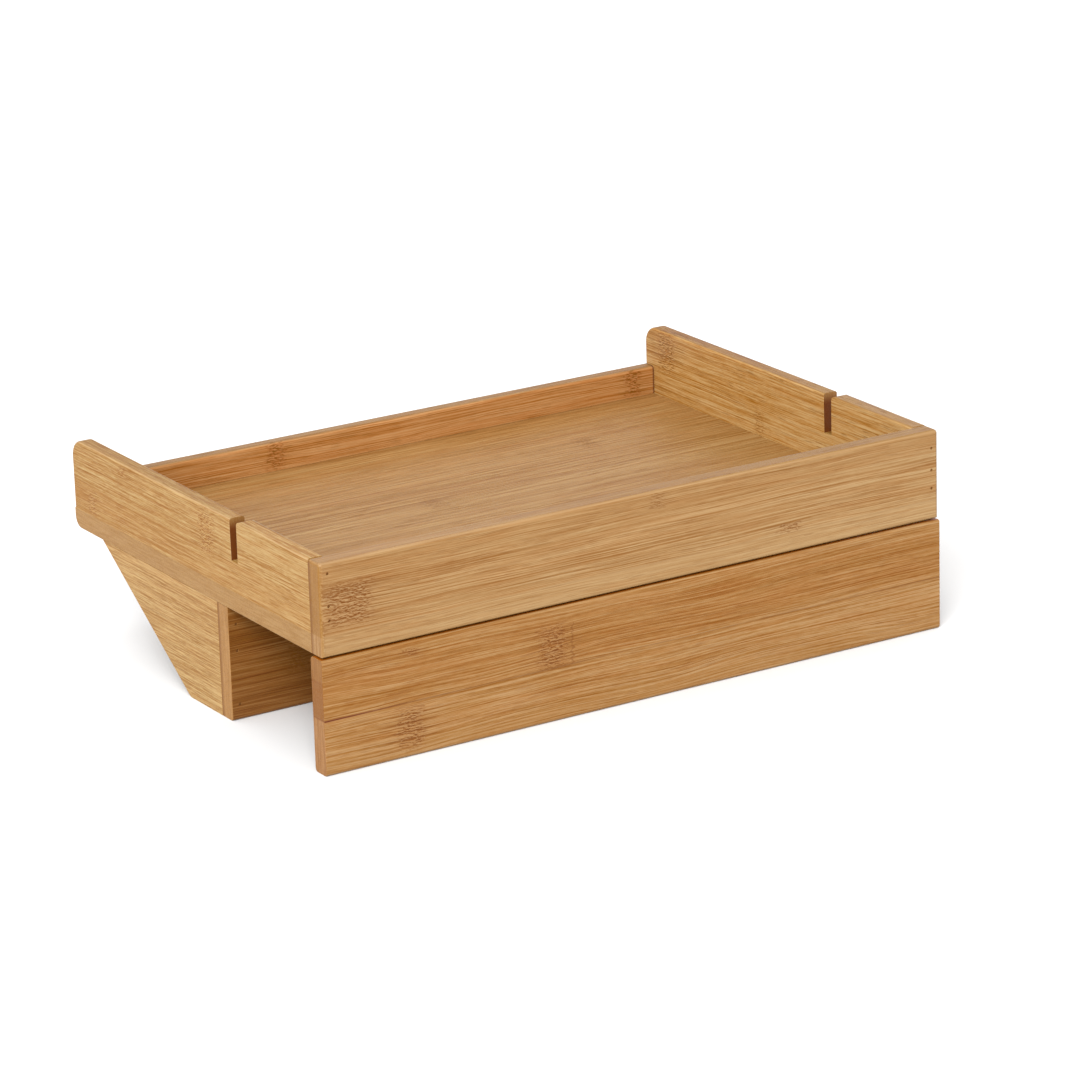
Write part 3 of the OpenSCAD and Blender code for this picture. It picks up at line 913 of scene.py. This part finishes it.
jaw = {
    "edgeRadius": 2 * mm, "gapRadius": 1.3 * mm, "soften": 0.35 * mm,
    "look": dict(
        seed=53.0, middle=(190, 140, 87), deep=(164, 108, 56), pale=(208, 166, 118), fibre=(142, 90, 44),
        sawnEnd=(186, 132, 76), sawnFibre=(162, 104, 54), gapShade=(61.66, 61.69, (196, 114, 38)),
        sawnBands=[(50, (167, 107, 50)), (29.5, (208, 154, 104))], seams=[(29.5, -180, -132, 0.85)],
        creases=[(-43.5, 41, -136.25, 11)], wave=2.0, waveLength=120.0, hairLength=40.0, streaks=0.38,
        flecks=0.45, dashes=0.3, mottle=0.75, stripWidth=34.0, jointAt=29.5, glueLine=0.4, edgeHighlight=0.2,
        strips=[(-500, 0.62, 0.0, 0.8), (4.5, 0.62, 0.15, 1.0), (29.5, 0.46, 0.4, 0.9),
                (54.5, 0.56, 0.2, 0.9)],
        knuckles=[(-56, 41, -136.25, 9, 12.5, 1.0), (-141, 15.5, -136.25, 8, 12, 1.0),
                  (-139, 56.2, -136.25, 4, 2.5, 0.8), (90, 42, -124.75, 7, 12, 0.9),
                  (-100, 18, -124.75, 7, 12, 0.9)]),
}
low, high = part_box("jaw_board")
piece = addBlock("jawBoard", low, high)
roundEdges(piece, jaw["gapRadius"], liesAt(y=low.y, z=high.z), 5)
roundEdges(piece, jaw["edgeRadius"], anyOf(
    liesAt(y=high.y, z=high.z), liesAt(y=low.y, z=low.z), liesAt(y=high.y, z=low.z)), 5)
for node in ("left_slide_arm", "right_slide_arm"):
    # the arms are housed in the jaw's rear face
    armFrom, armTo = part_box(node)
    cutWith(piece, addBlock("housingCutter", armFrom, (armTo.x, high.y + 3 * mm, armTo.z)))
softenEdges(piece, jaw["soften"])
cutWith(piece, dowelHoles())
finishBoard(piece, "jawBamboo", "jaw_board", "xzy", body="jaw", slot="bamboo_clamp", **jaw["look"])
print("jaw made")

arms = {
    "soften": 0.5 * mm, "slotRadius": 3.4 * mm, "slotTravel": 73.5 * mm, "slotRounding": 0.995,
    "jointAside": -9,
    "look": dict(middle=(194, 150, 100), pale=(213, 173, 124), stripWidth=18.0, dashes=0.4),
}
for side, node, seed in ((-1, "left_slide_arm", 61.0), (1, "right_slide_arm", 67.0)):
    low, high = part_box(node)
    piece = addBlock(node.split("_")[0] + "SlideArm", low, high)

    # the slot that the stud runs in, with round ends
    middle, half = side * screwAside * mm, arms["slotRadius"]
    slotFront, slotRear = screwBack * mm - arms["slotTravel"] - half, screwBack * mm + half
    slot = addBlock("armSlotCutter", (middle - half, slotFront, low.z - 2 * mm),
                    (middle + half, slotRear, high.z + 2 * mm))
    corners = [liesAt(x=middle + turn * half, y=y) for turn in bothSides for y in (slotFront, slotRear)]
    roundEdges(slot, half * arms["slotRounding"], anyOf(*corners), 10)
    cutWith(piece, slot)
    softenEdges(piece, arms["soften"])
    cutWith(piece, dowelHoles())
    joint = side * screwAside + arms["jointAside"]
    finishBoard(piece, piece.name + "Bamboo", node, "yxz", body="jaw", seed=seed, jointAt=joint,
                knuckles=[(-95, joint + 15, low.z / mm, 6, 9, 0.9), (8, joint, high.z / mm, 6, 8, 0.8)],
                **arms["look"])
print("slide arms made")

length, radius, chamfer = dowels["length"], dowels["radius"], dowels["chamfer"]
steps = [(0, radius * 0.8), (chamfer, radius), (length - chamfer, radius), (length, radius * 0.8)]
dowelSet = setOut(turnBar("armDowelSet", steps, 24), dowelPlaces, inward)
dowelBamboo = makeBamboo("dowelBamboo", "left_slide_arm", "yxz", 0, **dowels["look"])
finishPiece(dowelSet, dowelBamboo, "jaw", "bamboo_tray", "arm_dowels")
print("dowels made")


# Knobs

knob = {
    "sides": 144, "lobes": 6, "radius": 15 * mm, "scallopRadius": 5.0 * mm, "scallopAt": 15.85 * mm,
    "lobeEdge": 0.05,        # how far the lobes' corners are rounded, as an angle
    "rimEdge": 1.5 * mm, "rimSteps": 5, "dishRadius": 10 * mm, "dishDepth": 0.8 * mm,
    "hubHeight": 5 * mm, "hubRadius": 7 * mm, "hubEdge": 0.6 * mm, "hubSides": 48,
    "studHole": 3.05 * mm, "holeFoot": 3 * mm,
}
stud = {
    "sides": 24, "radius": 3 * mm, "pitch": 1 * mm, "threadDepth": 0.55 * mm, "threadSlope": 2.6,
    "ringsPerTurn": 6, "smooth": 25,
}
# punched from strip: rounded on one side, with a small burr edge on the other
washer = {
    "sides": 64, "radius": 8 * mm, "hole": 3.2 * mm, "rounded": 0.4 * mm, "burr": 0.1 * mm,
    "soften": 0.08 * mm,
}


def starShare(angle):
    # the outline of the grip, scalloped into lobes whose corners are rounded by averaging
    lobeTurn = 2 * math.pi / knob["lobes"]
    nudges = (-2, -1, 0, 1, 2)
    total = 0.0
    for nudge in nudges:
        away = (angle + nudge * knob["lobeEdge"]) % lobeTurn - lobeTurn / 2
        aside = knob["scallopAt"] * math.sin(away)
        reach = knob["radius"]
        if abs(aside) < knob["scallopRadius"]:
            cut = knob["scallopAt"] * math.cos(away) - math.sqrt(knob["scallopRadius"] ** 2 - aside ** 2)
            reach = min(reach, cut)
        total += reach / knob["radius"]
    return total / len(nudges)


def makeGrip(name, x, y):
    # a star with a shallow dish under it and its hub on top
    low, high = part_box(name + "_knob_grip")
    hubFoot = high.z - knob["hubHeight"]
    full, dish, edge = knob["radius"], knob["dishRadius"], knob["rimEdge"]
    bends = [math.radians(90 * i / knob["rimSteps"]) for i in range(knob["rimSteps"] + 1)]
    rim = [(edge * (1 - math.cos(bend)), full - edge * (1 - math.sin(bend))) for bend in bends]
    steps = [(low.z + knob["dishDepth"], dish - 0.8 * mm), (low.z + 0.15 * mm, dish - 0.15 * mm),
             (low.z, dish + 0.2 * mm)]
    steps += [(low.z + rise, radius) for rise, radius in rim]
    steps += [(hubFoot - rise, radius) for rise, radius in reversed(rim)]
    grip = turnBar(name + "KnobGripStar", steps, knob["sides"], starShare)
    hub, hubEdge = knob["hubRadius"], knob["hubEdge"]
    steps = [(hubFoot - 1 * mm, hub), (high.z - hubEdge, hub), (high.z, hub - hubEdge)]
    joinOrCut(grip, turnBar("hubPart", steps, knob["hubSides"]), "UNION")
    moveTo(grip, x, y)
    boreOut(grip, knob["studHole"], low.z + knob["holeFoot"], high.z + 2 * mm, x, y)
    finishPiece(grip, knobPlastic, name + "_knob", "knob_plastic", name + "_knob_grip")


def makeStud(name, x, y):
    # a rolled thread: a plain bar of fine rings, pressed in along the helix
    low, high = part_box(name + "_knob_stud")
    count = round((high.z - low.z) / stud["pitch"] * stud["ringsPerTurn"])
    heights = [low.z + (high.z - low.z) * i / count for i in range(count + 1)]
    bar = turnBar(name + "ThreadedStud", [(height, stud["radius"]) for height in heights], stud["sides"])
    for point in bar.data.vertices:
        turned = (point.co.z / stud["pitch"] - math.atan2(point.co.y, point.co.x) / (2 * math.pi)) % 1
        groove = min(1.0, stud["threadSlope"] * abs(turned - 0.5))
        fromEnd = min(point.co.z - low.z, high.z - point.co.z)
        groove = max(groove, 1 - fromEnd / stud["pitch"])
        pressIn(point, 1 - groove * stud["threadDepth"] / stud["radius"])
    moveTo(bar, x, y)
    finishPiece(bar, zincSteel, name + "_knob", "zinc_steel", name + "_knob_stud", smooth=stud["smooth"])


def makeWasher(name, x, y):
    low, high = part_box(name + "_washer")
    radius, rounded, burr = washer["radius"], washer["rounded"], washer["burr"]
    disc = turnBar(name + "ClampWasher", [(low.z, radius - rounded), (low.z + rounded, radius),
                                          (high.z - burr, radius), (high.z, radius - burr)], washer["sides"])
    moveTo(disc, x, y)
    boreOut(disc, washer["hole"], low.z - 1 * mm, high.z + 1 * mm, x, y)
    softenEdges(disc, washer["soften"], 1, 60)
    finishPiece(disc, zincSteel, name + "_clamp_washer", "zinc_steel", name + "_washer")


for side, name in ((-1, "left"), (1, "right")):
    x, y = side * screwAside * mm, screwBack * mm
    makeGrip(name, x, y)
    makeStud(name, x, y)
    makeWasher(name, x, y)
print("knobs, studs and washers made")

inserts = {
    "radius": 4.5 * mm, "sides": 48,
    # (height, how far in from the full radius) in millimetres, with two grooves round the outside
    "profile": [(0, 0.4), (0.4, 0), (2.2, 0), (2.4, 0.5), (3.2, 0.5), (3.4, 0), (5.0, 0), (5.2, 0.5),
                (6.0, 0.5), (6.2, 0), (7.7, 0), (8.0, 0.3)],
}
steps = [(height * mm, inserts["radius"] - inset * mm) for height, inset in inserts["profile"]]
insertSet = setOut(turnBar("brassInsertSet", steps, inserts["sides"]), insertPlaces, upward)
for x, y, foot in insertPlaces:
    boreOut(insertSet, knob["studHole"], foot - 1 * mm, foot + 9 * mm, x, y)
finishPiece(insertSet, insertBrass, "tray", "insert_brass", "threaded_inserts")
print("inserts made")


# Studio

studio = {
    "floorSize": 14, "floorPale": (0.62, 0.62, 0.62, 1), "floorDeep": (0.61, 0.61, 0.61, 1),
    "floorCloud": 0.5,
    "whiteLevel": 1.15,      # light that the even white surround gives
    "lightAim": (0, 0, 0.05),
    "lights": [              # name, place, size and power
        ("keyLight", (-5.2, -5.8, 4.75), 5.6, 1480.0),    # big soft box, far off in front on the left
        ("fillLight", (2.4, 1.4, 1.5), 2.0, 16.0),        # big weak soft box, behind on the right
        ("topLight", (-0.3, 0.2, 2.4), 1.2, 10.0),        # small soft box above
    ],
}
view = {
    "place": (-1.26338, -2.09998, 0.84812), "azimuth": 31.472, "elevation": 18.0035, "roll": 1.7541,
    "lens": 158.615, "sensor": 36,
}

deselectAll()
bpy.ops.mesh.primitive_plane_add(size=studio["floorSize"], location=(0, 0, 0))
ground = bpy.context.active_object
ground.name = "studioFloor"
paper, shader, coordinates = freshMaterial("studioPaper")
cloud = drawnNoise(coordinates["Object"], (studio["floorCloud"],) * 3)
feed(shader["Base Color"], blendColour(cloud, studio["floorDeep"], studio["floorPale"]))
shader["Roughness"].default_value = 0.9
shader["Specular IOR Level"].default_value = 0.1
ground.data.materials.append(paper)

world = bpy.data.worlds.new("studioWhite")
bpy.context.scene.world = world
world.use_nodes = True
surround = world.node_tree.nodes["Background"].inputs
surround["Color"].default_value = (1.0, 1.0, 1.0, 1.0)
surround["Strength"].default_value = studio["whiteLevel"]
for name, place, size, power in studio["lights"]:
    deselectAll()
    bpy.ops.object.light_add(type="AREA", location=place)
    lamp = bpy.context.active_object
    lamp.name = name
    lamp.data.size = size
    lamp.data.energy = power
    lamp.rotation_euler = (Vector(studio["lightAim"]) - Vector(place)).to_track_quat("-Z", "Y").to_euler()

turn, drop, roll = [math.radians(view[key]) for key in ("azimuth", "elevation", "roll")]
sight = Vector((math.sin(turn) * math.cos(drop), math.cos(turn) * math.cos(drop), -math.sin(drop)))
deselectAll()
bpy.ops.object.camera_add(location=view["place"])
camera = bpy.context.active_object
camera.name = "photoCamera"
camera.data.lens = view["lens"]
camera.data.sensor_width = view["sensor"]
camera.rotation_euler = (sight.to_track_quat("-Z", "Y") @ Quaternion(upward, -roll)).to_euler()
bpy.context.scene.camera = camera
bpy.context.scene.view_settings.view_transform = "Standard"
print("studio and camera set")
